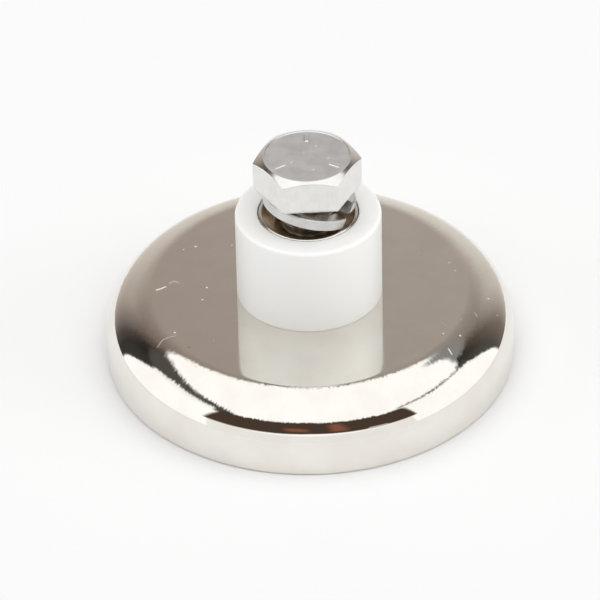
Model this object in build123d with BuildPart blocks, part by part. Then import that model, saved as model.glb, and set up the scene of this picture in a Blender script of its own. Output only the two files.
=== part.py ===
"""Pot magnet with a clamping bolt on a raised bush, in millimetres.

The open side of the pot faces down. The origin is the centre of the pot's rim, which is
the holding face, and +Z runs up the bush and the bolt. Azimuths are in degrees,
counter-clockwise from +X as seen from above.
"""

import os
from math import acos, atan, cos, degrees, hypot, pi, radians, sin, tan

from build123d import *

os.makedirs("parts", exist_ok=True)

# Cup, a deep-drawn steel pot
cup_diameter = 57.0
cup_height = 10.5
cup_wall = 2.0
cup_punch_radius = 4.65
rim_outer_chamfer = 0.4
rim_inner_chamfer = 0.3

# Ring magnet, pressed ferrite, set just inside the rim
magnet_recess = 0.3
magnet_side_gap = 0.4
magnet_hole_diameter = 24.0
magnet_edge_chamfer = 0.4

# Resin round the magnet
resin_recess = 0.7

# Threaded bush, turned steel, riveted through the floor of the cup
bush_wall = 2.9
bush_length = 13.2
bush_mouth_land = 0.45
bush_outer_edge_chamfer = 0.12
countersink_angle = 120.0
spigot_wall = 1.5
spigot_clearance = 0.05
rivet_overhang = 1.8
rivet_edge_height = 0.4
rivet_head_height = 1.1
rivet_mouth_chamfer = 0.5

# Spacer sleeve, a length of plastic tube over the bush
sleeve_wall = 3.1
sleeve_clearance = 0.1
sleeve_top_chamfer = 0.25
sleeve_foot_chamfer = 0.2

# Bolt with a hexagon head, threaded to the head
thread_diameter = 8.0
thread_allowance = 0.05
thread_clearance = 0.05
bolt_length = 16.0
bolt_point_chamfer = 0.7
under_head_radius = 0.4
hex_sides = 6
hex_across_flats = 13.0
hex_head_height = 5.3
hex_chamfer_angle = 30.0
hex_crown_inset = 0.45
hex_turn = 2.8
bearing_face_inset = 0.65
bearing_face_height = 0.35

# Split spring washer, left-hand coil, loose under the head
washer_play = 0.6
washer_band = 2.05
washer_thickness = 1.6
washer_rise = 2.0
washer_edge_chamfer = 0.22
washer_slot_width = 0.25
washer_slot_slant = 27.0
washer_slot_azimuth = 327.0
washer_high_azimuth = 220.0
washer_slip = 0.18
washer_foot_gap = 0.1
washer_head_gap = 0.2

# Radii and heights that pieces share
shank_radius = thread_diameter / 2 - thread_allowance
bush_bore_radius = shank_radius + thread_clearance
bush_radius = bush_bore_radius + bush_wall
spigot_radius = bush_bore_radius + spigot_wall
cup_radius = cup_diameter / 2
cup_inner_radius = cup_radius - cup_wall
cup_ceiling = cup_height - cup_wall
cup_spring_line = cup_ceiling - cup_punch_radius
magnet_radius = cup_inner_radius - magnet_side_gap
bush_top = cup_height + bush_length


# Cup: flat crown, drawn shoulder, straight wall and a lapped rim
cup_shoulder_radius = cup_punch_radius + cup_wall
cup_flat_radius = cup_radius - cup_shoulder_radius
cup_hole_radius = spigot_radius + spigot_clearance
with BuildPart() as cup:
    with BuildSketch(Plane.XZ):
        with BuildLine():
            crown = Line((cup_hole_radius, cup_height), (cup_flat_radius, cup_height))
            shoulder = JernArc(crown @ 1, (1, 0), cup_shoulder_radius, -90)
            outside = Line(shoulder @ 1, (cup_radius, 0))
            rim = Line(outside @ 1, (cup_inner_radius, 0))
            inside = Line(rim @ 1, (cup_inner_radius, cup_spring_line))
            inner_shoulder = JernArc(inside @ 1, (0, 1), cup_punch_radius, 90)
            ceiling = Line(inner_shoulder @ 1, (cup_hole_radius, cup_ceiling))
            Line(ceiling @ 1, crown @ 0)
        make_face()
    revolve(axis=Axis.Z)
    rim_edges = cup.faces().sort_by(Axis.Z)[0].edges().sort_by(SortBy.RADIUS)
    chamfer(rim_edges[-1], length=rim_outer_chamfer)
    chamfer(rim_edges[0], length=rim_inner_chamfer)
cup.part.label = "cup"


# Ring magnet: its bevelled shoulder clears the inside of the cup's shoulder
magnet_hole_radius = magnet_hole_diameter / 2
magnet_shoulder = cup_punch_radius - magnet_side_gap
with BuildPart() as ring_magnet:
    with BuildSketch(Plane.XZ):
        with BuildLine():
            Polyline(
                (magnet_hole_radius, magnet_recess),
                (magnet_hole_radius, cup_ceiling),
                (magnet_radius - magnet_shoulder, cup_ceiling),
                (magnet_radius, cup_ceiling - magnet_shoulder),
                (magnet_radius, magnet_recess),
                close=True,
            )
        make_face()
    revolve(axis=Axis.Z)
    chamfer(ring_magnet.faces().sort_by(Axis.Z)[0].edges(), length=magnet_edge_chamfer)
ring_magnet.part.label = "ring_magnet"


# Resin: it fills the gap round the magnet up to where the cup's shoulder starts
with BuildPart() as adhesive_ring:
    with BuildSketch(Plane.XY.offset(resin_recess)):
        Circle(cup_inner_radius)
        Circle(magnet_radius, mode=Mode.SUBTRACT)
    extrude(amount=cup_spring_line - resin_recess)
adhesive_ring.part.label = "adhesive_ring"


# Threaded bush: countersunk mouth, body on the cup, spigot through its floor and rivet head
bush_mouth_radius = bush_radius - bush_mouth_land
countersink_depth = (bush_mouth_radius - bush_bore_radius) / tan(radians(countersink_angle / 2))
rivet_head_radius = spigot_radius + rivet_overhang
rivet_edge = cup_ceiling - rivet_edge_height
rivet_foot = cup_ceiling - rivet_head_height
rivet_mouth_radius = bush_bore_radius + rivet_mouth_chamfer
with BuildPart() as threaded_bush:
    with BuildSketch(Plane.XZ):
        with BuildLine():
            body = Polyline(
                (bush_bore_radius, bush_top - countersink_depth),
                (bush_mouth_radius, bush_top),
                (bush_radius, bush_top),
                (bush_radius, cup_height),
                (spigot_radius, cup_height),
                (spigot_radius, cup_ceiling),
                (rivet_head_radius, cup_ceiling),
                (rivet_head_radius, rivet_edge),
            )
            rivet_dome = TangentArc((rivet_mouth_radius, rivet_foot), body @ 1, tangent=(1, 0))
            Polyline(
                rivet_dome @ 0,
                (bush_bore_radius, rivet_foot + rivet_mouth_chamfer),
                body @ 0,
            )
        make_face()
    revolve(axis=Axis.Z)
    top_edges = threaded_bush.edges().group_by(Axis.Z)[-1].sort_by(SortBy.RADIUS)
    chamfer(top_edges[-1], length=bush_outer_edge_chamfer)
threaded_bush.part.label = "threaded_bush"


# Spacer sleeve: as long as the bush, so that a bracket lies on both
sleeve_bore_radius = bush_radius + sleeve_clearance
with BuildPart() as spacer_sleeve:
    with BuildSketch(Plane.XY.offset(cup_height)):
        Circle(sleeve_bore_radius + sleeve_wall)
        Circle(sleeve_bore_radius, mode=Mode.SUBTRACT)
    extrude(amount=bush_length)
    round_edges = spacer_sleeve.edges().filter_by(GeomType.CIRCLE)
    outer_edges = round_edges.group_by(SortBy.RADIUS)[-1].sort_by(Axis.Z)
    chamfer(outer_edges[-1], length=sleeve_top_chamfer)
    chamfer(outer_edges[0], length=sleeve_foot_chamfer)
spacer_sleeve.part.label = "spacer_sleeve"


# Spring washer, coiled flat about +Z with its slot on +X, then leaned over on the shank
washer_bore = thread_diameter + washer_play
washer_mean_radius = (washer_bore + washer_band) / 2
with BuildPart() as washer_coil:
    with BuildLine(Plane.XY.offset(-washer_rise / 2)):
        turn = Helix(washer_rise, washer_rise, washer_mean_radius, lefthand=True)
    with BuildSketch(Plane(origin=turn @ 0, x_dir=(1, 0, 0), z_dir=turn % 0)):
        Rectangle(washer_band, washer_thickness)
        chamfer(vertices(), length=washer_edge_chamfer)
    sweep(is_frenet=True)
    # The slanted slot trims the lower end below the middle height and the upper end above it
    slot_reach = washer_rise / 2 + washer_thickness
    slot_lean = slot_reach * tan(radians(washer_slot_slant))
    half_slot = washer_slot_width / 2
    with BuildSketch(Plane(origin=(washer_mean_radius, 0, 0), x_dir=(0, 1, 0), z_dir=(1, 0, 0))):
        for end in (-1, 1):
            with BuildLine():
                Polyline(
                    (-end * half_slot, 0),
                    (-end * half_slot, end * slot_reach),
                    (end * (slot_lean + half_slot), end * slot_reach),
                    (end * half_slot, 0),
                    close=True,
                )
            make_face()
    extrude(amount=washer_band, both=True, mode=Mode.SUBTRACT)

# The washer leans until its bore would bind on the thread, and has slipped towards its slot
washer_lean = degrees(
    acos(thread_diameter / hypot(washer_bore, washer_thickness)) - atan(washer_thickness / washer_bore)
)
high_side = radians(washer_high_azimuth)
lean_axis = Axis((0, 0, 0), (sin(high_side), -cos(high_side), 0))
leaning_washer = washer_coil.part.rotate(Axis.Z, washer_slot_azimuth).rotate(lean_axis, washer_lean)
washer_box = leaning_washer.bounding_box()
washer_lift = bush_top + washer_foot_gap - washer_box.min.Z
slip_side = radians(washer_slot_azimuth)
slip = (washer_slip * cos(slip_side), washer_slip * sin(slip_side))
spring_washer = Pos(*slip, washer_lift) * leaning_washer
spring_washer.label = "spring_washer"


# Bolt: its head stops just above the washer's high side
bearing_height = bush_top + washer_foot_gap + washer_box.size.Z + washer_head_gap
hex_base = bearing_height + bearing_face_height
head_top = bearing_height + hex_head_height
hex_corner_radius = hex_across_flats / 2 / cos(pi / hex_sides)
hex_crown_radius = hex_across_flats / 2 - hex_crown_inset
bearing_face_radius = hex_across_flats / 2 - bearing_face_inset
chamfer_drop = (hex_corner_radius - hex_crown_radius) * tan(radians(hex_chamfer_angle))
bolt_point = bearing_height - bolt_length
with BuildPart() as hex_bolt:
    with BuildSketch(Plane.XY.offset(hex_base)):
        RegularPolygon(hex_across_flats / 2, hex_sides, major_radius=False, rotation=hex_turn)
    extrude(amount=head_top - hex_base)
    with BuildSketch(Plane.XZ):
        with BuildLine():
            Polyline(
                (0, hex_base),
                (hex_corner_radius, hex_base),
                (hex_corner_radius, head_top - chamfer_drop),
                (hex_crown_radius, head_top),
                (0, head_top),
                close=True,
            )
        make_face()
    revolve(axis=Axis.Z, mode=Mode.INTERSECT)
    with BuildSketch(Plane.XZ):
        with BuildLine():
            bearing = Polyline(
                (0, hex_base),
                (bearing_face_radius, hex_base),
                (bearing_face_radius, bearing_height),
                (shank_radius + under_head_radius, bearing_height),
            )
            root = JernArc(bearing @ 1, (-1, 0), under_head_radius, 90)
            Polyline(
                root @ 1,
                (shank_radius, bolt_point + bolt_point_chamfer),
                (shank_radius - bolt_point_chamfer, bolt_point),
                (0, bolt_point),
                (0, hex_base),
            )
        make_face()
    revolve(axis=Axis.Z)
hex_bolt.part.label = "hex_bolt"


export_step(cup.part, "parts/cup.step")
export_step(ring_magnet.part, "parts/ring_magnet.step")
export_step(adhesive_ring.part, "parts/adhesive_ring.step")
export_step(threaded_bush.part, "parts/threaded_bush.step")
export_step(spacer_sleeve.part, "parts/spacer_sleeve.step")
export_step(spring_washer, "parts/spring_washer.step")
export_step(hex_bolt.part, "parts/hex_bolt.step")
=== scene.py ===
"""Looks of a pot magnet with a clamping bolt: finishes, threads, marks, floor, light and camera.

Metres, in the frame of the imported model: the pot's rim rests on z = 0 and +Z runs up the bolt.
Sizes are written in millimetres. Azimuths on the object are in degrees, counter-clockwise from +X
as seen from above.
"""

from math import acos, atan, ceil, cos, hypot, pi, radians, sin, tan

import bmesh
import bpy
import numpy as np
from mathutils import Matrix, Vector, noise


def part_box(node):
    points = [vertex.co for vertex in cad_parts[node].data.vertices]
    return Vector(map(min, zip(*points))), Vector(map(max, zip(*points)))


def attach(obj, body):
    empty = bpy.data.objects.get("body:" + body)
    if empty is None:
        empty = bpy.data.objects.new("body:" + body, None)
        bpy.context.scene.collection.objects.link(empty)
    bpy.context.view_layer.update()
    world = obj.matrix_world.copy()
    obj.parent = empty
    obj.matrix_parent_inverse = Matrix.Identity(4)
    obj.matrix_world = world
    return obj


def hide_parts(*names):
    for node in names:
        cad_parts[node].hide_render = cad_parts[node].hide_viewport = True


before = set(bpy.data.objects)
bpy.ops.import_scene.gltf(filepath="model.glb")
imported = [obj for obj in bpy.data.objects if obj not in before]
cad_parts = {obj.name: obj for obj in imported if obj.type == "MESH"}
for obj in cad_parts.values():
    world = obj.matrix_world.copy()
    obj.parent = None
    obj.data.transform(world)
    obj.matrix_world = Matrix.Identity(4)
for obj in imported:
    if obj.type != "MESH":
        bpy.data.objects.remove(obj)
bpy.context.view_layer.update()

MM = 0.001

# The pieces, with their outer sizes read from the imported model. A small round just breaks an edge
small_round = 0.1

cup_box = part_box("cup")
cup_radius = cup_box[1].x / MM
cup_height = cup_box[1].z / MM
cup_wall = 2.0
cup_punch_radius = 4.65
cup_shoulder_radius = cup_punch_radius + cup_wall
cup_inner_radius = cup_radius - cup_wall
cup_ceiling = cup_height - cup_wall
cup_flat_radius = cup_radius - cup_shoulder_radius
cup_hole_radius = 5.55
rim_outer_round = 0.4
rim_inner_round = 0.3

magnet_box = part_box("ring_magnet")
magnet_radius = magnet_box[1].x / MM
magnet_face = magnet_box[0].z / MM
magnet_hole_radius = 12.0
magnet_edge_chamfer = 0.4
magnet_shoulder = 4.25
magnet_shoulder_round = 0.5

# Chips in the magnet's edges lie where a noise, with some bumps in a radian, passes a threshold
chip_bumps = 9.0
chip_seed = 3.0
chip_threshold = 0.32
chip_depth = 1.1
chip_reach = 0.15

# The resin's face hangs up between cup and magnet by its dip, and waves round the axis
resin_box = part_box("adhesive_ring")
resin_low = resin_box[0].z / MM
resin_high = resin_box[1].z / MM
resin_dip = 0.15
resin_wave = 0.3
resin_bumps = 7.0
resin_seed = 1.0

bush_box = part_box("threaded_bush")
bush_top = bush_box[1].z / MM
bush_foot = bush_box[0].z / MM
bush_radius = 6.9
bush_bore_radius = 4.0
bush_mouth_radius = 6.45
bush_minor_radius = 3.34
bush_edge_round = 0.3
countersink_angle = 120.0
spigot_radius = 5.5
rivet_radius = 7.3
rivet_edge_height = 0.4
rivet_edge_round = 0.2
rivet_mouth_radius = 4.5
rivet_dome_start = rivet_mouth_radius + 0.9
rivet_dome_round = 1.2

sleeve_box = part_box("spacer_sleeve")
sleeve_radius = sleeve_box[1].x / MM
sleeve_bore_radius = 7.0
sleeve_top_round = 0.45
sleeve_foot_round = 0.06
sleeve_bore_round = 0.15

bolt_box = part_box("hex_bolt")
head_top = bolt_box[1].z / MM
bolt_point = bolt_box[0].z / MM
hex_half_width = 6.5
hex_head_height = 5.3
hex_chamfer_angle = 30.0
hex_crown_radius = 6.05
hex_corner_round = 0.3
hex_edge_round = 0.12
hex_turn = 2.8
bearing_face_radius = 5.85
bearing_face_height = 0.35
bearing_height = head_top - hex_head_height
hex_base = bearing_height + bearing_face_height
under_head_radius = 0.4
shank_radius = 3.95
shank_minor_radius = 3.24
shank_start = bearing_height - under_head_radius
bolt_point_chamfer = 0.7
thread_diameter = 8.0
thread_pitch = 1.25
thread_step = thread_pitch / 16

# Half the turn between two corners of the head. A circle rounds each corner: the distance of its
# centre from the axis, and how far round the axis it reaches to either side
half_corner = radians(30)
hex_corner_centre = (hex_half_width - hex_corner_round) / cos(half_corner)
hex_corner_turn = atan(hex_corner_round / 2 / (hex_corner_centre + hex_corner_round * cos(half_corner)))

# Points round the pieces. The shank has one point for every few of the head's outline
cup_points = 360
magnet_points = 480
bush_points = 144
sleeve_points = 240
washer_sections = 181
hex_corner_points = 7
hex_flat_points = 59
head_points_per_shank_point = 4

# Rings of points across the head's top, from a first one at that share of its radius, and across
# the bolt's point
crown_rings = 50
crown_first_ring = 0.02
bolt_point_rings = (2.6, 1.8, 1.0, 0.3)

washer_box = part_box("spring_washer")
washer_bore = 8.6
washer_band = 2.05
washer_thickness = 1.6
washer_rise = 2.0
washer_edge_chamfer = 0.2
washer_edge_round = 0.07
washer_slot_width = 0.25
washer_slot_slant = 27.0
washer_slot_azimuth = 327.0
washer_high_azimuth = 220.0
washer_slip = 0.18

# Marks on the head: its middle is sunk inside a border, but for three plain ticks, and small dents
# lie there as (x, y, radius)
crown_sink = 0.07
crown_border = (0.1, 0.3)
tick_azimuths = (90, 210, 330)
tick_reach = (3.6, 5.0)
tick_width = 0.42
tick_slope = 0.2
crown_dents = (
    (-2.1, -1.6, 0.45),
    (1.3, 2.2, 0.35),
    (2.9, -0.7, 0.3),
    (-0.4, 0.8, 0.25),
    (0.8, -3.4, 0.4),
)
dent_depth = 0.05

# The camera of the photograph
camera_aim = (-1.38, 0.0, 8.43)
camera_elevation = 36.95
camera_roll = -1.24
camera_distance = 693.2
camera_lens = 298.5
camera_sensor = 36.0
camera_nearest = 10.0
camera_farthest = 20000.0


def corner_arc(before, corner, after, radius, step):
    """The points of an arc that rounds one corner between its neighbours."""
    back = (before - corner) / np.linalg.norm(before - corner)
    ahead = (after - corner) / np.linalg.norm(after - corner)
    half = acos(np.clip(back @ ahead, -1, 1)) / 2
    centre = corner + (back + ahead) / np.linalg.norm(back + ahead) * radius / sin(half)
    spoke = corner + back * radius / tan(half) - centre
    turn = (pi - 2 * half) * np.sign(back[1] * ahead[0] - back[0] * ahead[1])
    angles = np.linspace(0, turn, max(3, ceil(abs(turn) / step)) + 1)
    across = np.array((-spoke[1], spoke[0]))
    return [centre + spoke * cos(angle) + across * sin(angle) for angle in angles]


def rounded(corners, closed=True, fine=3.0, coarse=15.0, large=1.0, support=0.3):
    """An outline through corners (r, z, radius), rounded by arcs and held flat beside them.

    Arcs of at least the large radius get a point every fine degrees, the others every coarse ones.
    """
    arcs = []
    for index, (r, z, radius) in enumerate(corners):
        corner = np.array((r, z), float)
        before = np.array(corners[index - 1][:2])
        after = np.array(corners[(index + 1) % len(corners)][:2])
        step = radians(fine if radius >= large else coarse)
        arcs.append(corner_arc(before, corner, after, radius, step) if radius else [corner])
    points = []
    for index, arc in enumerate(arcs):
        points.extend(arc)
        if not closed and index == len(arcs) - 1:
            break
        start, end = arc[-1], arcs[(index + 1) % len(arcs)][0]
        length = np.linalg.norm(end - start)
        if length > 4 * support:
            points.append(start + (end - start) * support / length)
            points.append(end - (end - start) * support / length)
    return np.array(points)


def full_turn(count):
    """Evenly spaced angles of a full turn, in radians."""
    return np.arange(count) * 2 * pi / count


def loops_of(radii, heights, angles):
    """Loops of points round +Z. Radii and heights have a row for each loop, and may vary by angle."""
    x = radii * np.cos(angles)
    y = radii * np.sin(angles)
    return np.stack((x, y, np.broadcast_to(heights, x.shape)), axis=-1)


def rings(outline, angles):
    """An outline of (r, z) points turned about +Z: an array of loops, each a ring of points."""
    return loops_of(outline[:, :1], outline[:, 1:], angles)


def ring_faces(first, second, size):
    """Quads between two rings of that many points, which start at those vertices."""
    here = np.arange(size)
    ahead = (here + 1) % size
    return np.stack((first + here, first + ahead, second + ahead, second + here), axis=-1)


def tube_faces(count, size, first=0):
    """Quads along a tube of loops, from the loop that starts at the first vertex."""
    starts = first + np.arange(count) * size
    return [ring_faces(start, start + size, size) for start in starts[:-1]]


def finish_mesh(name, vertices, faces, sharp_angle=32.0):
    """A smooth-shaded object from millimetre points, with its normals outward."""
    mesh = bpy.data.meshes.new(name)
    mesh.from_pydata((np.asarray(vertices) * MM).tolist(), [], [list(face) for face in faces])
    shape = bmesh.new()
    shape.from_mesh(mesh)
    bmesh.ops.recalc_face_normals(shape, faces=shape.faces)
    shape.to_mesh(mesh)
    shape.free()
    mesh.shade_smooth()
    mesh.set_sharp_from_angle(angle=radians(sharp_angle))
    piece = bpy.data.objects.new(name, mesh)
    bpy.context.scene.collection.objects.link(piece)
    return piece


def closed_ring(name, loops):
    """A ring-shaped piece whose last loop closes on its first, such as a tube with a wall."""
    count, size = loops.shape[:2]
    faces = tube_faces(count, size)
    faces.append(ring_faces((count - 1) * size, 0, size))
    return finish_mesh(name, loops.reshape(-1, 3), np.concatenate(faces))


def thread_wave(heights, angles):
    """From 0 at the roots of a right-hand thread to 1 at its crests, on the usual 60 degree form."""
    crest_half = 1 / 16
    root_start = 3 / 8
    turns = heights / thread_pitch - angles / (2 * pi)
    off_crest = np.abs(turns - np.round(turns))
    return np.clip((root_start - off_crest) / (root_start - crest_half), 0, 1)


def smooth_step(value, low, high):
    """From 0 to 1, smoothly, as the values go from low to high."""
    share = np.clip((value - low) / (high - low), 0, 1)
    return share * share * (3 - 2 * share)


def ring_noise(angles, bumps, seed):
    """Smooth noise round the axis, about from -1 to 1, with some number of bumps in a radian."""
    reach = bumps / 2
    return np.array([noise.noise(Vector((reach * cos(turn), reach * sin(turn), seed))) for turn in angles])


def dress(piece, node, material):
    """Lets the piece stand for a CAD node, with its material."""
    piece.data.materials.append(material)
    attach(piece, "root")
    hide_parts(node)
    return piece


class Graph:
    """Short ways to add nodes to a node tree."""

    def __init__(self, tree):
        """Keeps the tree that the nodes go into."""
        self.tree = tree

    def put(self, socket, value):
        """Links a node's output to the socket, or sets the socket to a plain value."""
        if isinstance(value, bpy.types.NodeSocket):
            self.tree.links.new(value, socket)
        else:
            socket.default_value = value

    def add(self, kind, inputs=(), output=0, **settings):
        """A node with its settings and its inputs, by name or place; gives one of its outputs."""
        node = self.tree.nodes.new("ShaderNode" + kind)
        for name, value in settings.items():
            setattr(node, name, value)
        for name, value in dict(inputs).items():
            self.put(node.inputs[name], value)
        return node.outputs[output]

    def math(self, operation, *values):
        """A math operation on one or two numbers."""
        return self.add("Math", enumerate(values), operation=operation)

    def vector(self, operation, *values, output=0):
        """A vector operation, which gives a number where the output is its Value."""
        return self.add("VectorMath", enumerate(values), output, operation=operation)

    def scaled(self, vector, factor):
        """A vector or colour times a number."""
        return self.add("VectorMath", {0: vector, "Scale": factor}, operation="SCALE")

    def axes(self, vector):
        """The x, y and z of a vector."""
        node = self.add("SeparateXYZ", {0: vector}).node
        return node.outputs[0], node.outputs[1], node.outputs[2]

    def fold(self, operation, values):
        """A math operation over several numbers, from the first to the last."""
        result = values[0]
        for value in values[1:]:
            result = self.math(operation, result, value)
        return result

    def total(self, *values):
        """The sum of several numbers."""
        return self.fold("ADD", values)

    def product(self, *values):
        """The product of several numbers."""
        return self.fold("MULTIPLY", values)

    def largest(self, *values):
        """The largest of several numbers."""
        return self.fold("MAXIMUM", values)

    def ramp(self, value, low, high, to_low=0.0, to_high=1.0):
        """From to_low to to_high, smoothly, as value goes from low to high."""
        inputs = {"Value": value, 1: low, 2: high, 3: to_low, 4: to_high}
        return self.add("MapRange", inputs, interpolation_type="SMOOTHSTEP")

    def band(self, value, low, high, soft):
        """One from low to high and zero beyond them."""
        above = self.ramp(value, low - soft, low + soft)
        return self.product(above, self.ramp(value, high + soft, high - soft))

    def blend(self, factor, first, second):
        """A number between two numbers."""
        return self.add("Mix", {0: factor, 2: first, 3: second})

    def mix(self, factor, first, second):
        """A colour between two colours."""
        return self.add("Mix", {0: factor, 6: first, 7: second}, 2, data_type="RGBA")

    def noise(self, vector, size=1.0, detail=3.0, roughness=0.5):
        """Noise whose largest grains have that size."""
        inputs = {"Vector": vector, "Scale": 1 / size, "Detail": detail, "Roughness": roughness}
        return self.add("TexNoise", inputs)

    def specks(self, vector, spacing, radius, share):
        """Round dots scattered on a share of the cells of a grid with that spacing."""
        inputs = {"Vector": vector, "Scale": 1 / spacing}
        distance = self.add("TexVoronoi", inputs, "Distance")
        chance = self.add("SeparateColor", {0: self.add("TexVoronoi", inputs, "Color")})
        edge = radius / spacing
        return self.product(self.ramp(distance, edge, edge / 2), self.math("LESS_THAN", chance, share))

    def rays(self, *kinds):
        """One for light paths of any of those kinds, such as Camera or Glossy."""
        return self.largest(*(self.add("LightPath", output=f"Is {kind} Ray") for kind in kinds))


class Surface(Graph):
    """A Principled material in the making, with places on the object in millimetres."""

    def __init__(self, name):
        """Starts the material, with the places and directions that its patterns read."""
        self.material = bpy.data.materials.new(name)
        self.material.use_nodes = True
        super().__init__(self.material.node_tree)
        self.shader = self.tree.nodes["Principled BSDF"]
        self.place = self.vector("MULTIPLY", self.add("TexCoord", output="Object"), (1 / MM,) * 3)
        self.plan = self.vector("MULTIPLY", self.place, (1, 1, 0))
        x, y, self.height = self.axes(self.place)
        self.radius = self.math("SQRT", self.total(self.product(x, x), self.product(y, y)))
        self.azimuth = self.math("ARCTAN2", y, x)
        self.upward = self.axes(self.add("NewGeometry", output="Normal"))[2]

    def ring_place(self, radius, along, across):
        """A place for streaks round the axis: arc length along them, and r and z across them."""
        arc = self.product(self.azimuth, radius / along)
        outward = self.product(self.radius, 1 / across)
        up = self.product(self.height, 1 / across)
        return self.add("CombineXYZ", {0: arc, 1: outward, 2: up})

    def set(self, **values):
        """Sets the shader's inputs, whose names are written with underscores."""
        for name, value in values.items():
            label = name.replace("_", " ").title().replace("Ior", "IOR")
            self.put(self.shader.inputs[label], value)

    def relief(self, height, distance):
        """The normal of a relief from a height of 0 to 1, whose top stands that far proud."""
        return self.add("Bump", {"Height": height, "Distance": distance * MM, "Strength": 1.0})

    def bump(self, height, distance):
        """Gives the surface a relief."""
        self.set(normal=self.relief(height, distance))

    def bump_and_tilt(self, height, distance, tilt):
        """Gives the surface a relief whose normal also leans outward from the axis by the tilt."""
        outward = self.vector("NORMALIZE", self.plan)
        normal = self.vector("ADD", self.relief(height, distance), self.scaled(outward, tilt))
        self.set(normal=self.vector("NORMALIZE", normal))

    def stroke(self, points, half_width):
        """One near a line through points (x, y), seen from above, and zero beyond its width."""
        runs = []
        for start, end in zip(points, points[1:]):
            start, end = Vector((*start, 0)), Vector((*end, 0))
            run = end - start
            offset = self.vector("SUBTRACT", self.plan, start)
            share = self.vector("DOT_PRODUCT", offset, run / run.length_squared, output="Value")
            nearest = self.scaled(run, self.add("Clamp", {0: share}))
            distance = self.vector("DISTANCE", offset, nearest, output="Value")
            runs.append(self.ramp(distance, half_width, half_width * 0.4))
        return self.largest(*runs)

    def dot(self, place, radius):
        """One inside a spot round (x, y), seen from above."""
        distance = self.vector("DISTANCE", self.plan, (*place, 0), output="Value")
        return self.ramp(distance, radius, radius * 0.3)


# Marks on the pot, seen from above: scratches as points (x, y) with half width and strength, and
# dust as a place, radius and strength
nickel_scratches = (
    (((-21.3, 0.3), (-20.7, 0.55), (-20.1, 0.95)), 0.18, 0.85),
    (((-19.5, 1.8), (-18.9, 2.25), (-18.3, 1.9)), 0.26, 0.3),
    (((-18.6, -10.3), (-19.5, -10.6), (-20.4, -11.1), (-21.1, -12.2)), 0.11, 0.35),
    (((-16.8, -15.6), (-15.7, -17.3)), 0.08, 0.8),
    (((18.1, -8.7), (18.6, -9.3)), 0.12, 0.22),
    (((18.8, -14.3), (19.2, -15.1)), 0.13, 0.7),
    (((22.7, -6.2), (23.0, -6.9)), 0.16, 0.3),
)
nickel_dust = (
    ((-17.6, 9.6), 0.17, 0.6),
    ((-15.9, 10.3), 0.25, 0.8),
    ((-10.8, 10.4), 0.2, 0.5),
    ((-14.3, 0.6), 0.23, 0.9),
    ((-14.9, -2.2), 0.2, 0.9),
    ((-18.7, -9.6), 0.24, 0.8),
    ((19.6, 5.2), 0.3, 0.35),
    ((20.4, 3.3), 0.2, 0.5),
    ((17.4, 9.3), 0.2, 0.3),
    ((24.8, -2.4), 0.24, 0.6),
    ((25.9, -4.9), 0.14, 0.5),
    ((20.7, -8.0), 0.14, 0.35),
    ((18.2, -11.1), 0.21, 0.6),
    ((20.5, -11.4), 0.23, 0.7),
    ((12.8, -17.0), 0.14, 0.4),
)
fine_dust_strength = 0.55
nickel_colour = (0.85, 0.83, 0.775, 1)
nickel_cloud = (0.82, 0.79, 0.735, 1)
dust_colour = (0.86, 0.83, 0.78, 1)
rust_spot = ((-16.7, -13.0), 0.5)
rust_colour = (0.8, 0.7, 0.6, 1)

# Drawing streaks up the pot's shoulder: their width and length, how far they lean the normal, and
# how far the shoulder's streaks stay from the flat and the side
streak_width = 0.17
streak_length = 0.9
streak_lean = 0.32
streak_margins = (0.5, 1.4)


def nickel_dirt(surface):
    """Where dust and scratches break the bright plate."""
    fine_dust = surface.specks(surface.place, spacing=1.7, radius=0.09, share=0.18)
    marks = [surface.product(fine_dust, fine_dust_strength)]
    for place, radius, strength in nickel_dust:
        marks.append(surface.product(surface.dot(place, radius), strength))
    for points, half_width, strength in nickel_scratches:
        marks.append(surface.product(surface.stroke(points, half_width), strength))
    outside = surface.ramp(surface.upward, 0.05, 0.2)
    return surface.product(surface.largest(*marks), outside)


def nickel_lean(surface):
    """How far the drawing streaks lean the shoulder's normal."""
    run = surface.math("SUBTRACT", surface.radius, surface.height)
    inputs = {
        0: surface.product(surface.azimuth, cup_radius / streak_width),
        1: surface.product(run, 1 / streak_length),
    }
    streaks = surface.noise(surface.add("CombineXYZ", inputs), detail=2.0, roughness=0.6)
    start, end = streak_margins
    shoulder = surface.band(surface.radius, cup_flat_radius + start, cup_radius - end, soft=0.7)
    return surface.product(surface.math("SUBTRACT", streaks, 0.5), shoulder, streak_lean)


def nickel_plate():
    """Bright nickel over drawn steel, with fine drawing streaks up the shoulder, dust and scratches."""
    surface = Surface("nickel_plate")
    peel = surface.noise(surface.place, size=2.5, detail=2.0)
    grain = surface.noise(surface.place, size=0.25, detail=2.0)
    relief = surface.total(surface.product(peel, 0.12), surface.product(grain, 0.02))
    surface.bump_and_tilt(relief, 0.014, nickel_lean(surface))
    clouds = surface.ramp(surface.noise(surface.place, size=5.0, detail=5.0), 0.35, 0.68)
    dirt = nickel_dirt(surface)
    colour = surface.mix(clouds, nickel_colour, nickel_cloud)
    colour = surface.mix(surface.dot(*rust_spot), colour, rust_colour)
    polish = surface.ramp(surface.radius, cup_flat_radius, cup_flat_radius + 2, 1.0, 0.35)
    smear = surface.product(surface.ramp(clouds, 0, 1, 0.06, 0.085), polish)
    surface.set(
        base_color=surface.mix(dirt, colour, dust_colour),
        metallic=surface.ramp(dirt, 0, 1, 1.0, 0.1),
        roughness=surface.largest(smear, surface.product(dirt, 0.6)),
    )
    return surface.material


bush_brown = (0.62, 0.48, 0.33, 1)
bush_stain = (0.36, 0.26, 0.17, 1)


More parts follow.
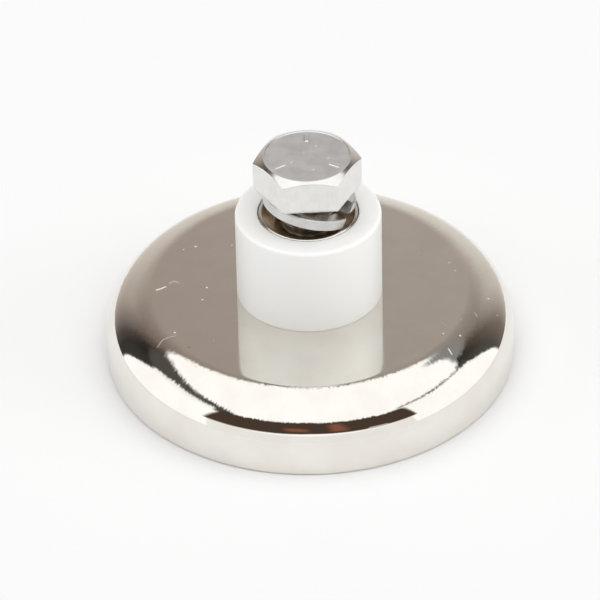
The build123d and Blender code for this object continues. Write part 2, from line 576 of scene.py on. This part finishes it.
def turned_nickel():
    """The bush: a bright land at its mouth, and a brownish, ring-turned countersink and bore."""
    surface = Surface("turned_nickel")
    rings_place = surface.ring_place(bush_radius, along=9.0, across=0.16)
    turned = surface.noise(rings_place, detail=2.0, roughness=0.6)
    surface.bump(turned, 0.014)
    inside = surface.ramp(surface.radius, bush_mouth_radius + 0.06, bush_mouth_radius - 0.02)
    stains = surface.ramp(surface.noise(surface.place, size=1.6), 0.4, 0.65)
    brown = surface.mix(stains, bush_brown, bush_stain)
    brown = surface.mix(surface.ramp(turned, 0.35, 0.75), brown, bush_brown)
    surface.set(
        base_color=surface.mix(inside, nickel_colour, brown),
        metallic=1.0,
        roughness=surface.ramp(inside, 0, 1, 0.12, 0.3),
    )
    return surface.material


# The nylon's white, tinted cool as a painted reflection of a window. The second colour serves both the
# faint clouds and painted warm light from the pot at the foot
nylon_white_and_window_reflection = (0.97, 0.982, 0.98, 1)
nylon_cloud_and_pot_light = (0.985, 0.978, 0.955, 1)


def milky_nylon():
    """Natural nylon: white and faintly cloudy, with a soft gloss and light going into it; its white
    carries a painted cool reflection of a window, and its foot painted warm light from the pot.
    """
    surface = Surface("milky_nylon")
    clouds = surface.ramp(surface.noise(surface.place, size=6.0, detail=2.0), 0.3, 0.7)
    # Painted light: near the pot, the foot takes the warmer colour, as if lit from below by the nickel
    foot = surface.ramp(surface.height, cup_height + 2.2, cup_height + 0.6)
    surface.bump(surface.noise(surface.place, size=3.5, detail=1.0), 0.006)
    surface.set(
        base_color=surface.mix(surface.largest(clouds, foot), nylon_white_and_window_reflection, nylon_cloud_and_pot_light),
        roughness=0.36,
        subsurface_weight=0.1,
        subsurface_radius=(1.0, 0.95, 0.88),
        subsurface_scale=0.9 * MM,
    )
    return surface.material


steel_colour = (0.66, 0.655, 0.64, 1)
steel_dull = (0.6, 0.59, 0.575, 1)


def spring_steel():
    """The washer: coiled from drawn wire, with fine marks along the wire and dull patches."""
    surface = Surface("spring_steel")
    wire_place = surface.ring_place(washer_bore / 2, along=2.5, across=0.12)
    drawn = surface.noise(wire_place, roughness=0.6)
    pits = surface.specks(surface.place, spacing=0.6, radius=0.05, share=0.15)
    surface.bump(surface.math("SUBTRACT", drawn, pits), 0.003)
    dull = surface.ramp(surface.noise(surface.place, size=1.6), 0.35, 0.75)
    surface.set(
        base_color=surface.mix(dull, steel_colour, steel_dull),
        metallic=1.0,
        roughness=surface.ramp(drawn, 0.3, 0.7, 0.24, 0.34),
    )
    return surface.material


stainless_colour = (0.83, 0.82, 0.8, 1)
stainless_dull = (0.79, 0.78, 0.76, 1)
stainless_forged = (0.74, 0.755, 0.765, 1)
thread_brown = (0.34, 0.29, 0.23, 1)
upright_grain = (0.22, 0.22, 3.0)


def stainless():
    """The bolt: a mottled forged top, flats with upright streaks, and a thread darker and browner than the
    head.
    """
    surface = Surface("stainless")
    top = surface.ramp(surface.upward, 0.9, 0.99)
    chamfer = surface.band(surface.upward, 0.4, 0.93, soft=0.04)
    # Below the bearing face the shank is darker and browner than the head
    thread = surface.ramp(surface.height, bearing_height - 0.2, bearing_height - 0.5)
    upright = surface.vector("DIVIDE", surface.place, upright_grain)
    streaks = surface.noise(upright, roughness=0.6)
    mottle = surface.noise(surface.place, size=1.7, detail=4.0, roughness=0.55)
    turned = surface.noise(surface.ring_place(hex_half_width, along=6.0, across=0.1), detail=2.0)
    relief = surface.total(
        surface.product(streaks, 0.35),
        surface.product(mottle, top, 1.3),
        surface.product(turned, chamfer, 0.5),
    )
    surface.bump(relief, 0.012)
    patches = surface.ramp(surface.noise(surface.place, size=1.8, detail=4.0), 0.38, 0.66)
    bright = surface.mix(patches, stainless_colour, stainless_dull)
    rough_side = surface.ramp(streaks, 0.3, 0.7, 0.13, 0.25)
    rough_top = surface.ramp(mottle, 0.3, 0.7, 0.3, 0.4)
    roughness = surface.blend(top, rough_side, rough_top)
    surface.set(
        base_color=surface.mix(thread, surface.mix(top, bright, stainless_forged), thread_brown),
        metallic=1.0,
        roughness=surface.largest(roughness, surface.product(thread, 0.36)),
    )
    return surface.material


ferrite_colour = (0.045, 0.045, 0.048, 1)
ferrite_ground = (0.085, 0.085, 0.09, 1)
grinding_grain = (12.0, 0.12, 1.0)


def ferrite():
    """Sintered ferrite: dark grey and matte, with straight grinding marks on its face."""
    surface = Surface("ferrite")
    ground = surface.noise(surface.vector("DIVIDE", surface.place, grinding_grain), detail=2.0)
    grain = surface.noise(surface.place, size=0.3)
    face = surface.ramp(surface.upward, -0.95, -0.99)
    surface.bump(surface.total(surface.product(ground, face), surface.product(grain, 0.6)), 0.01)
    streaks = surface.product(surface.ramp(ground, 0.45, 0.7), face)
    surface.set(
        base_color=surface.mix(streaks, ferrite_colour, ferrite_ground),
        roughness=surface.ramp(grain, 0.3, 0.7, 0.45, 0.7),
    )
    return surface.material


resin_colour = (0.085, 0.05, 0.028, 1)
resin_pale = (0.14, 0.09, 0.05, 1)


def cured_resin():
    """Amber-brown potting resin, glossy, with small bubbles and a dusty bloom."""
    surface = Surface("cured_resin")
    bubbles = surface.specks(surface.place, spacing=0.8, radius=0.12, share=0.35)
    ripple = surface.noise(surface.place, size=1.2, detail=2.0)
    surface.bump(surface.math("SUBTRACT", ripple, bubbles), 0.02)
    bloom = surface.ramp(surface.noise(surface.place, size=2.5, detail=4.0), 0.45, 0.7)
    surface.set(
        base_color=surface.mix(bloom, resin_colour, resin_pale),
        roughness=surface.ramp(bloom, 0, 1, 0.18, 0.45),
    )
    return surface.material


# The sheet under the object. Between two distances from the axis it runs into the white backdrop,
# which the world shows too
sheet_radius = 64.0
sheet_sides = 180
sheet_fade = (44, 60)
paper_colour = (0.905, 0.911, 0.918, 1)
paper_fibre = (0.899, 0.905, 0.912, 1)
backdrop_white = (0.96, 0.96, 0.96, 1)
black = (0, 0, 0, 1)


def studio_paper():
    """Matte white paper with a faint tooth, which runs into the white backdrop near its edge."""
    surface = Surface("studio_paper")
    tooth = surface.noise(surface.place, size=0.8)
    surface.bump(tooth, 0.01)
    seen = surface.rays("Camera", "Glossy", "Transmission")
    far = surface.product(surface.ramp(surface.radius, *sheet_fade), seen)
    surface.set(
        base_color=surface.mix(far, surface.mix(tooth, paper_colour, paper_fibre), black),
        roughness=0.9,
        specular_ior_level=0.0,
        emission_color=backdrop_white,
        emission_strength=far,
    )
    return surface.material


def make_cup():
    """The drawn pot: a flat crown with a hole, a round shoulder, a straight side and a broken rim."""
    outline = rounded(
        (
            (cup_hole_radius, cup_height, small_round),
            (cup_radius, cup_height, cup_shoulder_radius),
            (cup_radius, 0, rim_outer_round),
            (cup_inner_radius, 0, rim_inner_round),
            (cup_inner_radius, cup_ceiling, cup_punch_radius),
            (cup_hole_radius, cup_ceiling, small_round),
        ),
        fine=2.0,
    )
    cup = closed_ring("drawn_cup", rings(outline, full_turn(cup_points)))
    return dress(cup, "cup", nickel_plate())


def edge_mask(outline):
    """One for the outline's points on the magnet's two chamfered edges, zero for its face."""
    margin = magnet_edge_chamfer + chip_reach
    inner = outline[:, 0] < magnet_hole_radius + margin
    outer = outline[:, 0] > magnet_radius - margin
    return (inner | outer)[:, None]


def make_magnet():
    """The ferrite ring, with chips in the two edges of its face."""
    outline = rounded(
        (
            (magnet_hole_radius, cup_ceiling, 0),
            (magnet_radius - magnet_shoulder, cup_ceiling, magnet_shoulder_round),
            (magnet_radius, cup_ceiling - magnet_shoulder, magnet_shoulder_round),
            (magnet_radius, magnet_face + magnet_edge_chamfer, small_round),
            (magnet_radius - magnet_edge_chamfer, magnet_face, small_round),
            (magnet_hole_radius + magnet_edge_chamfer, magnet_face, small_round),
            (magnet_hole_radius, magnet_face + magnet_edge_chamfer, small_round),
        )
    )
    angles = full_turn(magnet_points)
    loops = rings(outline, angles)
    chips = np.clip(ring_noise(angles, chip_bumps, chip_seed) - chip_threshold, 0, None) * chip_depth
    on_face = loops[:, :, 2] < magnet_face + magnet_edge_chamfer / 2
    loops[:, :, 2] += chips * on_face * edge_mask(outline)
    magnet = closed_ring("ferrite_ring", loops)
    return dress(magnet, "ring_magnet", ferrite())


def make_resin():
    """The resin, whose open face hangs between cup and magnet and waves a little."""
    width = cup_inner_radius - magnet_radius
    face = [
        (magnet_radius + width * share, resin_low + resin_dip * 4 * share * (1 - share))
        for share in np.linspace(1, 0, 9)
    ]
    back = [(magnet_radius, resin_high), (cup_inner_radius, resin_high)]
    angles = full_turn(cup_points)
    loops = rings(np.array(back + face), angles)
    loops[len(back) :, :, 2] += resin_wave * (1 + ring_noise(angles, resin_bumps, resin_seed)) / 2
    resin = closed_ring("resin_ring", loops)
    return dress(resin, "adhesive_ring", cured_resin())


def bush_outline():
    """The bush's outline, and the number of its points before the threaded bore."""
    slope = tan(radians(90 - countersink_angle / 2))
    cone_foot = bush_top - (bush_mouth_radius - bush_minor_radius) * slope
    bore_foot = bush_foot + rivet_mouth_radius - bush_minor_radius
    body = rounded(
        (
            (bush_mouth_radius, bush_top, 0),
            (bush_radius, bush_top, bush_edge_round),
            (bush_radius, cup_height, small_round),
            (spigot_radius, cup_height, 0),
            (spigot_radius, cup_ceiling, 0),
            (rivet_radius, cup_ceiling, small_round),
            (rivet_radius, cup_ceiling - rivet_edge_height, rivet_edge_round),
            (rivet_dome_start, bush_foot, rivet_dome_round),
            (rivet_mouth_radius, bush_foot, small_round),
            (bush_minor_radius, bore_foot, 0),
        ),
        closed=False,
    )
    bore_heights = np.linspace(bore_foot, cone_foot, ceil((cone_foot - bore_foot) / thread_step) + 1)
    bore = np.stack((np.full(len(bore_heights), bush_minor_radius), bore_heights), axis=-1)
    cone_radii = np.linspace(bush_minor_radius, bush_mouth_radius, 32)
    cone = np.stack((cone_radii, cone_foot + (cone_radii - bush_minor_radius) * slope), axis=-1)
    return np.concatenate((body, bore[1:-1], cone[:-1])), len(body) - 1


def make_bush():
    """The turned bush, with its thread cut up to the countersink."""
    outline, bore_start = bush_outline()
    radii, heights = outline[:, :1], outline[:, 1:]
    angles = full_turn(bush_points)
    groove = (bush_bore_radius - bush_minor_radius) * thread_wave(heights, angles)
    threaded = np.arange(len(outline))[:, None] >= bore_start
    radii = np.where(threaded, np.maximum(radii, bush_minor_radius + groove), radii)
    bush = closed_ring("turned_bush", loops_of(radii, heights, angles))
    return dress(bush, "threaded_bush", turned_nickel())


def make_sleeve():
    """The plastic tube round the bush, with its edges slightly rounded."""
    outline = rounded(
        (
            (sleeve_bore_radius, bush_top, sleeve_bore_round),
            (sleeve_radius, bush_top, sleeve_top_round),
            (sleeve_radius, cup_height, sleeve_foot_round),
            (sleeve_bore_radius, cup_height, sleeve_bore_round),
        )
    )
    sleeve = closed_ring("nylon_sleeve", rings(outline, full_turn(sleeve_points)))
    return dress(sleeve, "spacer_sleeve", milky_nylon())


def chamfered_box(half_width, half_height, chamfer, rounding):
    """The corners of a box with cut corners, clockwise, for an outline."""
    corners = []
    for side, end in ((1, 1), (1, -1), (-1, -1), (-1, 1)):
        beside = (side * half_width, end * (half_height - chamfer), rounding)
        above = (side * (half_width - chamfer), end * half_height, rounding)
        corners.extend((beside, above) if side != end else (above, beside))
    return corners


def washer_loops():
    """The sections of a left-hand coil about +Z, from end to end of its slanted slot on +X."""
    corners = chamfered_box(washer_band / 2, washer_thickness / 2, washer_edge_chamfer, washer_edge_round)
    section = rounded(corners, support=0.08)
    across, up = section[:, 0], section[:, 1]
    radii = (washer_bore + washer_band) / 2 + across
    slant = tan(radians(washer_slot_slant))
    ends = []
    for end in (1, -1):
        height = end * washer_rise / 2 + up
        ends.append(np.arcsin((end * washer_slot_width / 2 + height * slant) / radii))
    shares = np.linspace(0, 1, washer_sections)[:, None]
    angles = ends[0] + (2 * pi + ends[1] - ends[0]) * shares
    heights = washer_rise * (0.5 - angles / (2 * pi)) + up
    return loops_of(radii, heights, angles)


def lay_washer(points):
    """The washer's points, leaning until its bore binds on the thread, set on its foot and slipped."""
    binding = acos(thread_diameter / hypot(washer_bore, washer_thickness))
    lean = binding - atan(washer_thickness / washer_bore)
    high = radians(washer_high_azimuth)
    slot = radians(washer_slot_azimuth)
    turn = Matrix.Rotation(slot, 3, "Z")
    tilt = Matrix.Rotation(lean, 3, Vector((sin(high), -cos(high), 0)))
    points = points @ np.array(tilt @ turn).T
    points[:, 2] += washer_box[0].z / MM - points[:, 2].min()
    points[:, :2] += washer_slip * np.array((cos(slot), sin(slot)))
    return points


def make_washer():
    """A left-hand coil with a slanted slot, leaning on the shank."""
    loops = washer_loops()
    count, sides = loops.shape[:2]
    faces = np.concatenate(tube_faces(count, sides)).tolist()
    faces.append(list(range(sides)))
    faces.append(list(range((count - 1) * sides, count * sides)))
    washer = finish_mesh("split_washer", lay_washer(loops.reshape(-1, 3)), faces)
    return dress(washer, "spring_washer", spring_steel())


def head_angles():
    """Azimuths of the points round the head, close together at its six rounded corners."""
    corner = np.linspace(-hex_corner_turn, hex_corner_turn, hex_corner_points)
    flat = np.linspace(hex_corner_turn, 2 * half_corner - hex_corner_turn, hex_flat_points)[1:-1]
    side = np.concatenate((corner, flat))
    return np.concatenate([radians(hex_turn) + number * pi / 3 + side for number in range(6)])


def hexagon(angles):
    """Distance from the axis to the sides of the head, whose corners are slightly rounded."""
    off_corner = np.mod(angles - radians(hex_turn), pi / 3)
    off_corner = np.minimum(off_corner, pi / 3 - off_corner)
    reach = np.maximum(hex_corner_round**2 - (hex_corner_centre * np.sin(off_corner)) ** 2, 0)
    arc = hex_corner_centre * np.cos(off_corner) + np.sqrt(reach)
    flat = hex_half_width / np.cos(half_corner - off_corner)
    return np.where(off_corner < hex_corner_turn, arc, flat)


def crown_relief(radius, angles):
    """How far the head's top lies below its edge: sunk in the middle, but for ticks and dents."""
    outer, inner = crown_border
    sunk = smooth_step(radius, hex_crown_radius - outer, hex_crown_radius - inner)
    ticks = np.zeros(len(angles))
    start, end = tick_reach
    for azimuth in tick_azimuths:
        off = angles - radians(azimuth)
        along, across = radius * np.cos(off), np.abs(radius * np.sin(off))
        width = smooth_step(across, tick_width / 2 + tick_slope, tick_width / 2)
        length = smooth_step(along, start - tick_slope, start) * smooth_step(along, end + tick_slope, end)
        ticks = np.maximum(ticks, width * length)
    dents = np.zeros(len(angles))
    for x, y, reach in crown_dents:
        distance = np.hypot(radius * np.cos(angles) - x, radius * np.sin(angles) - y)
        dents = np.maximum(dents, smooth_step(distance, reach, 0))
    return crown_sink * sunk * (1 - ticks) + dent_depth * dents


def bearing_outline():
    """The raised face under the head, from just outside it to just inside it."""
    return rounded(
        (
            (bearing_face_radius + 0.2, hex_base, 0),
            (bearing_face_radius, hex_base, small_round / 2),
            (bearing_face_radius, bearing_height, small_round),
            (bearing_face_radius - 0.4, bearing_height, 0),
        ),
        closed=False,
    )


def head_loops(angles):
    """The bolt's head from the middle of its top to its bearing face, as loops of points."""
    edge = hexagon(angles)
    rounding = hex_edge_round
    chamfer = radians(hex_chamfer_angle)
    arc_centre = head_top - (rounding + (edge - rounding - hex_crown_radius) * sin(chamfer)) / cos(chamfer)
    cone_end = edge - rounding + rounding * sin(chamfer)
    rows = []
    for radius in hex_crown_radius * np.linspace(crown_first_ring, 1, crown_rings):
        rows.append((radius, head_top - crown_relief(radius, angles)))
    for share in np.linspace(0, 1, 8)[1:-1]:
        radii = hex_crown_radius + (cone_end - hex_crown_radius) * share
        rows.append((radii, head_top - (radii - hex_crown_radius) * tan(chamfer)))
    for turn in np.linspace(pi / 2 - chamfer, 0, 5):
        rows.append((edge - rounding + rounding * cos(turn), arc_centre + rounding * sin(turn)))
    for share in np.linspace(0, 1, 8)[1:]:
        rows.append((edge, arc_centre + (hex_base + rounding - arc_centre) * share))
    for turn in np.linspace(0, pi / 2, 5)[1:]:
        rows.append((edge - rounding + rounding * cos(turn), hex_base + rounding - rounding * sin(turn)))
    rows.extend(bearing_outline())
    radii = np.array([np.broadcast_to(row[0], len(angles)) for row in rows])
    heights = np.array([np.broadcast_to(row[1], len(angles)) for row in rows])
    return loops_of(radii, heights, angles)


def shank_outline():
    """The shank without its thread, from the bearing face to the middle of its point."""
    root = shank_radius + under_head_radius
    outline = [(root + 0.3, bearing_height)]
    for turn in np.linspace(0, pi / 2, 6):
        drop = under_head_radius * (1 - cos(turn))
        outline.append((root - under_head_radius * sin(turn), bearing_height - drop))
    samples = ceil((shank_start - bolt_point) / thread_step) + 1
    outline.extend((shank_radius, height) for height in np.linspace(shank_start, bolt_point, samples)[1:])
    outline.extend((radius, bolt_point) for radius in bolt_point_rings)
    return np.array(outline)


def shank_loops(angles):
    """The bolt's shank, with the thread cut into it and its point chamfered."""
    outline = shank_outline()
    plain, heights = outline[:, :1], outline[:, 1:]
    runout = np.clip((shank_start - heights) / thread_pitch, 0, 1)
    depth = (shank_radius - shank_minor_radius) * runout * (1 - thread_wave(heights, angles))
    point_cone = shank_radius - bolt_point_chamfer + heights - bolt_point
    threaded = np.minimum(plain - depth, np.maximum(point_cone, 0))
    return loops_of(np.where(heights < shank_start, threaded, plain), heights, angles)


def joining_faces(fine_first, fine, coarse_first, coarse):
    """Faces between a ring and the next one, which has fewer points."""
    share = fine // coarse
    faces = []
    for step in range(coarse):
        fan = [fine_first + (step * share + extra) % fine for extra in range(share + 1)]
        faces.append(fan + [coarse_first + (step + 1) % coarse, coarse_first + step])
    return faces


def make_bolt():
    """The hexagon-head bolt: chamfered head, bearing face, thread and chamfered point."""
    angles = head_angles()
    head = head_loops(angles)
    shank = shank_loops(angles[::head_points_per_shank_point])
    head_rows, fine = head.shape[:2]
    shank_rows, coarse = shank.shape[:2]
    shank_first = head_rows * fine
    point_first = shank_first + (shank_rows - 1) * coarse
    quads = tube_faces(head_rows, fine) + tube_faces(shank_rows, coarse, shank_first)
    faces = np.concatenate(quads).tolist()
    faces += joining_faces(shank_first - fine, fine, shank_first, coarse)
    faces.append(list(range(fine)))
    faces.append(list(range(point_first, point_first + coarse)))
    vertices = np.concatenate((head.reshape(-1, 3), shank.reshape(-1, 3)))
    bolt = finish_mesh("hex_head_bolt", vertices, faces, sharp_angle=22.0)
    return dress(bolt, "hex_bolt", stainless())


def make_floor():
    """A round white sheet under the object, wider than the picture."""
    mesh = bpy.data.meshes.new("floor")
    radius = sheet_radius * MM
    rim = [(radius * cos(turn), radius * sin(turn), 0) for turn in full_turn(sheet_sides)]
    mesh.from_pydata(rim, [], [tuple(range(len(rim)))])
    floor = bpy.data.objects.new("floor", mesh)
    bpy.context.scene.collection.objects.link(floor)
    floor.data.materials.append(studio_paper())


# The studio round the object, by direction in degrees: azimuth from the far side and positive to
# the right, and elevation. Softboxes fill it, and turn into the overhead one between two elevations
softbox = (1.5, 1.5, 1.49, 1)
overhead = (1.74, 1.74, 1.74, 1)
overhead_edge = (50, 62)
table_white = (0.95, 0.95, 0.94, 1)
dark_room = (0.072, 0.048, 0.035, 1)
softbox_frame = (0.09, 0.082, 0.073, 1)
warm_lamp = (0.26, 0.1, 0.06, 1)
window_gap = (0.55, 0.55, 0.53, 1)
ceiling_edge = (0.27, 0.27, 0.265, 1)

# Panels over the softboxes, each with its corners, the softness of its edges and its colour
table_panel = (((-190, -95), (190, -95), (190, 8), (-190, 8)), 3, table_white)
back_panels = (
    (((14, 47), (62, 43), (69, 45), (50, 53), (30, 57)), 2.5, ceiling_edge),
    (((-134, 29), (-72, 29), (-50, 40), (-46, 50), (-70, 51), (-118, 43), (-134, 36)), 2.5, softbox_frame),
)
front_panels = (
    (((73, 33.6), (128, 34), (131, 36), (110, 37.2), (73, 36)), 0.7, softbox_frame),
    (((-190, 12), (-121, 7), (-126, 34), (-150, 37), (-190, 40)), 2, dark_room),
    (((124, 7), (190, 12), (190, 40), (165, 37), (127, 35)), 1.5, dark_room),
    (((140, 9), (152, 10), (150, 12.5), (141, 11)), 0.8, window_gap),
    (((-178, 17), (-166, 17), (-165, 24), (-176, 24)), 3, warm_lamp),
    (((161, 15), (170, 15), (171, 32), (165, 32)), 3, warm_lamp),
)

# The softboxes at the sides, each with its corners and level, and how they fade by elevation
left_side = ((-124, -12), (-61, -12), (-63, -2), (-70.5, 16), (-78.5, 32), (-88, 37), (-122, 34))
right_side = ((61.5, -12), (124, -12), (131, 37), (90, 38), (77.5, 31), (70.5, 16), (65, 2))
side_softboxes = ((left_side, 1.5), (right_side, 1.7))
side_softness = 1.5
side_fading = (
    (-16, (0.68, 0.68, 0.675)),
    (2, (1, 1, 0.99)),
    (16, (0.95, 0.95, 0.94)),
    (32, (0.72, 0.72, 0.715)),
)

# The wall behind, with its colour by azimuth, and how that dims by elevation
wall_corners = ((-84, -60), (84, -60), (84, 35), (60, 49), (-40, 49), (-84, 46))
wall_softness = 2
wall_colours = (
    (-84, (0.065, 0.06, 0.055)),
    (-57, (0.04, 0.037, 0.033)),
    (-51, (0.09, 0.075, 0.065)),
    (-33, (0.47, 0.41, 0.375)),
    (-9, (0.7, 0.655, 0.61)),
    (-2, (0.73, 0.685, 0.645)),
    (3, (0.81, 0.785, 0.755)),
    (9, (0.74, 0.705, 0.665)),
    (33, (0.57, 0.53, 0.495)),
    (51, (0.19, 0.155, 0.13)),
    (63, (0.085, 0.078, 0.07)),
    (84, (0.09, 0.085, 0.08)),
)
wall_dimming = (
    (-20, (1.3, 1.3, 1.3)),
    (0, (1.1, 1.1, 1.1)),
    (16, (1, 1, 1)),
    (24, (0.88, 0.86, 0.84)),
    (37, (0.525, 0.48, 0.46)),
    (43, (0.46, 0.42, 0.4)),
)

# The most that a panel shows in the bright metal, so that it just reaches white there
mirrored_white = (1.19, 1.19, 1.19)
# The elevations below which metal and glass show the white backdrop, as the camera does
backdrop_edge = (-12, -16)


def panel_mask(graph, place, corners, soft):
    """One inside a convex panel, whose corners run counter-clockwise, and zero outside."""
    sides = []
    for index, start in enumerate(corners):
        edge = Vector(corners[(index + 1) % len(corners)]) - Vector(start)
        inward = Vector((-edge.y, edge.x)).normalized()
        reach = inward.dot(Vector(start))
        depth = graph.vector("DOT_PRODUCT", place, (*inward, 0), output="Value")
        sides.append(graph.ramp(depth, reach - soft, reach + soft))
    return graph.product(*sides)


def colour_curve(graph, value, stops):
    """A colour read from a list of (place, colour), for a value along their places."""
    low, high = stops[0][0], stops[-1][0]
    share = graph.math("DIVIDE", graph.math("SUBTRACT", value, low), high - low)
    curve = graph.add("ValToRGB", {0: share})
    elements = curve.node.color_ramp.elements
    for place, _ in stops[1:-1]:
        elements.new((place - low) / (high - low))
    for element, (place, colour) in zip(elements, stops):
        element.position = (place - low) / (high - low)
        element.color = (*colour, 1)
    return curve


def studio_colour(graph, azimuth, elevation):
    """The studio's colour in a direction: softboxes, with table, wall, sides and panels over them."""
    place = graph.add("CombineXYZ", {0: azimuth, 1: elevation})
    dimming = colour_curve(graph, elevation, wall_dimming)
    wall = graph.vector("MULTIPLY", colour_curve(graph, azimuth, wall_colours), dimming)
    fading = colour_curve(graph, elevation, side_fading)
    side_panels = [
        (corners, side_softness, graph.scaled(fading, level)) for corners, level in side_softboxes
    ]
    wall_panel = (wall_corners, wall_softness, wall)
    colour = graph.mix(graph.ramp(elevation, *overhead_edge), softbox, overhead)
    for corners, soft, shade in (table_panel, wall_panel, *back_panels, *side_panels, *front_panels):
        colour = graph.mix(panel_mask(graph, place, corners, soft), colour, shade)
    return colour


def make_studio():
    """The world, which is the only light, with a white backdrop that the camera sees all round."""
    world = bpy.data.worlds.new("studio")
    bpy.context.scene.world = world
    world.use_nodes = True
    graph = Graph(world.node_tree)
    x, y, z = graph.axes(graph.add("TexCoord", output="Generated"))
    azimuth = graph.math("DEGREES", graph.math("ARCTAN2", x, y))
    elevation = graph.math("DEGREES", graph.math("ARCSINE", z))
    colour = studio_colour(graph, azimuth, elevation)
    mirrored = graph.vector("MINIMUM", colour, mirrored_white)
    colour = graph.mix(graph.rays("Glossy"), colour, mirrored)
    below = graph.product(graph.ramp(elevation, *backdrop_edge), graph.rays("Glossy", "Transmission"))
    seen = graph.largest(graph.rays("Camera"), below)
    background = world.node_tree.nodes["Background"]
    graph.put(background.inputs["Color"], graph.mix(seen, colour, backdrop_white))


def make_camera():
    """The camera, on the near side of the object and looking down at it."""
    camera_data = bpy.data.cameras.new("camera")
    camera_data.lens = camera_lens
    camera_data.sensor_width = camera_sensor
    camera_data.clip_start = camera_nearest * MM
    camera_data.clip_end = camera_farthest * MM
    camera = bpy.data.objects.new("camera", camera_data)
    bpy.context.scene.collection.objects.link(camera)
    elevation = radians(camera_elevation)
    back = Vector((0, -cos(elevation), sin(elevation)))
    level = Vector((1, 0, 0))
    above = back.cross(level)
    roll = radians(camera_roll)
    right = cos(roll) * level + sin(roll) * above
    up = -sin(roll) * level + cos(roll) * above
    place = (Vector(camera_aim) + back * camera_distance) * MM
    turned = Matrix((right, up, back)).transposed()
    camera.matrix_world = Matrix.Translation(place) @ turned.to_4x4()
    bpy.context.scene.camera = camera


make_camera()
make_studio()
make_floor()
make_cup()
make_magnet()
make_resin()
make_bush()
make_sleeve()
make_washer()
make_bolt()

bpy.context.scene.view_settings.view_transform = "Standard"
bpy.context.view_layer.update()
